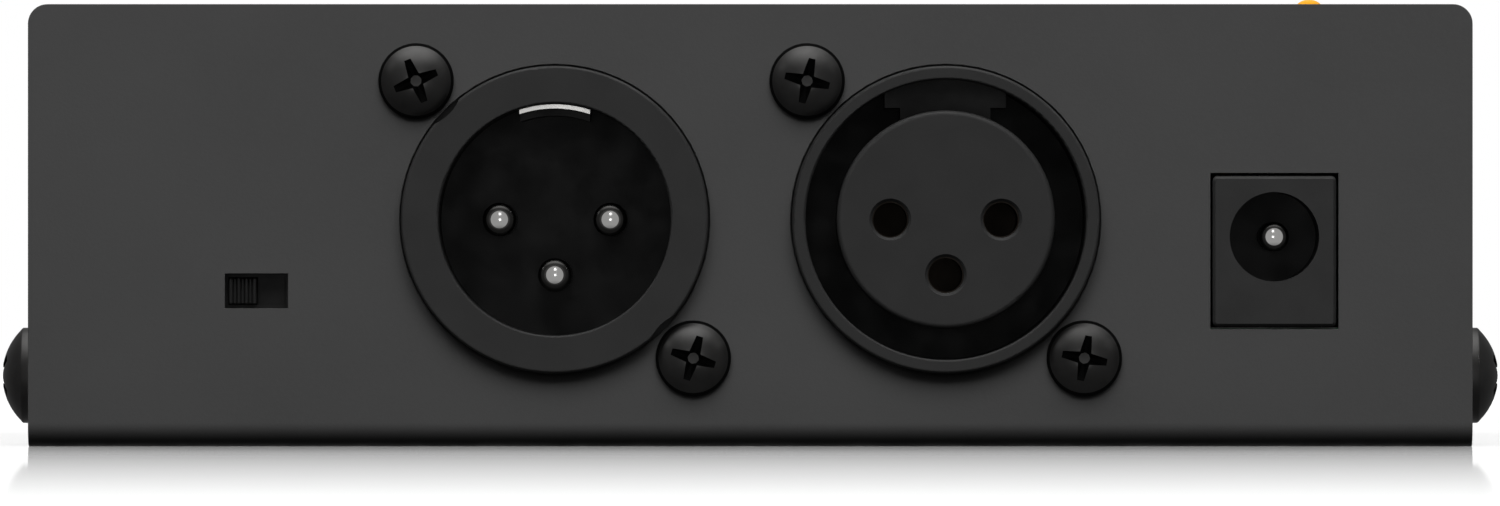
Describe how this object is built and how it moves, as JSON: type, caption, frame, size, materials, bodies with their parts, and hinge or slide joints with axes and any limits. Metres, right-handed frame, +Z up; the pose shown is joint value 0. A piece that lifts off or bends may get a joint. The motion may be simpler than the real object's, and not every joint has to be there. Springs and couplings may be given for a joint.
{
  "type": "direct injection box",
  "caption": "Low folded-steel direct injection box with male and female three-pin sockets, DC jack, slide switch and jacks at the back.",
  "frame": {"origin": "centre of the bottom plate's underside", "axes": "+Z up, -Y out of the connector panel, +X to the right facing that panel"},
  "size_m": [0.108, 0.1247, 0.0321],
  "materials": {
    "panel_paint": "fine matte charcoal powder coat",
    "connector_plastic": "satin black glass-filled nylon",
    "black_screw": "black-plated steel, glossy",
    "silver_contact": "silver-plated brass",
    "bright_steel": "bright nickel-plated steel",
    "jack_plastic": "satin black moulded plastic",
    "switch_plastic": "satin black moulded plastic",
    "tin_terminal": "tin-plated brass",
    "amber_lens": "tinted translucent epoxy",
    "lead_wire": "tinned lead wire",
    "board": "green solder-masked laminate",
    "standoff": "nickel-plated brass hex post",
    "zinc_screw": "zinc-plated steel",
    "core_steel": "varnished steel laminations",
    "bobbin_plastic": "natural nylon",
    "copper_winding": "enamelled copper wire",
    "chip_plastic": "black moulded epoxy",
    "can_sleeve": "dark shrink sleeve",
    "film_box": "red moulded box",
    "resistor_lacquer": "pale blue lacquer",
    "diode_body": "black moulded epoxy"
  },
  "bodies": {
    "enclosure": {"base_tray": "panel_paint", "top_cover": "panel_paint", "cover_screws": "black_screw", "connector_screws": "black_screw", "male_housing": "connector_plastic", "male_contacts": "silver_contact", "male_ground_contact": "bright_steel", "female_housing": "connector_plastic", "female_insert": "connector_plastic", "female_contacts": "silver_contact", "dc_jack_housing": "jack_plastic", "dc_jack_pin": "bright_steel", "dc_jack_spring": "bright_steel", "switch_frame": "switch_plastic", "switch_base": "switch_plastic", "switch_terminals": "tin_terminal", "led_lens": "amber_lens", "led_leads": "lead_wire", "led_spacer": "jack_plastic", "circuit_board": "board", "board_standoffs": "standoff", "board_screws": "zinc_screw", "transformer_core": "core_steel", "transformer_bobbin": "bobbin_plastic", "transformer_winding": "copper_winding", "transformer_pins": "tin_terminal", "opamp_bodies": "chip_plastic", "opamp_pins": "tin_terminal", "regulator_body": "chip_plastic", "regulator_leads": "lead_wire", "electrolytic_capacitors": "can_sleeve", "electrolytic_leads": "lead_wire", "film_capacitors": "film_box", "film_capacitor_leads": "lead_wire", "resistor_bodies": "resistor_lacquer", "resistor_leads": "lead_wire", "diode_bodies": "diode_body", "diode_leads": "lead_wire", "input_jack_housing": "jack_plastic", "input_jack_bushing": "bright_steel", "input_jack_spring": "tin_terminal", "link_jack_housing": "jack_plastic", "link_jack_bushing": "bright_steel", "link_jack_spring": "tin_terminal", "jack_nuts": "bright_steel", "jack_washers": "bright_steel"},
    "switch_slider": {"switch_knob": "switch_plastic", "switch_wiper": "tin_terminal"}
  },
  "joints": [
    {"name": "switch_slide", "type": "slide", "parent": "enclosure", "child": "switch_slider", "axis": [1, 0, 0], "range_m": [0, 0.002]}
  ]
}
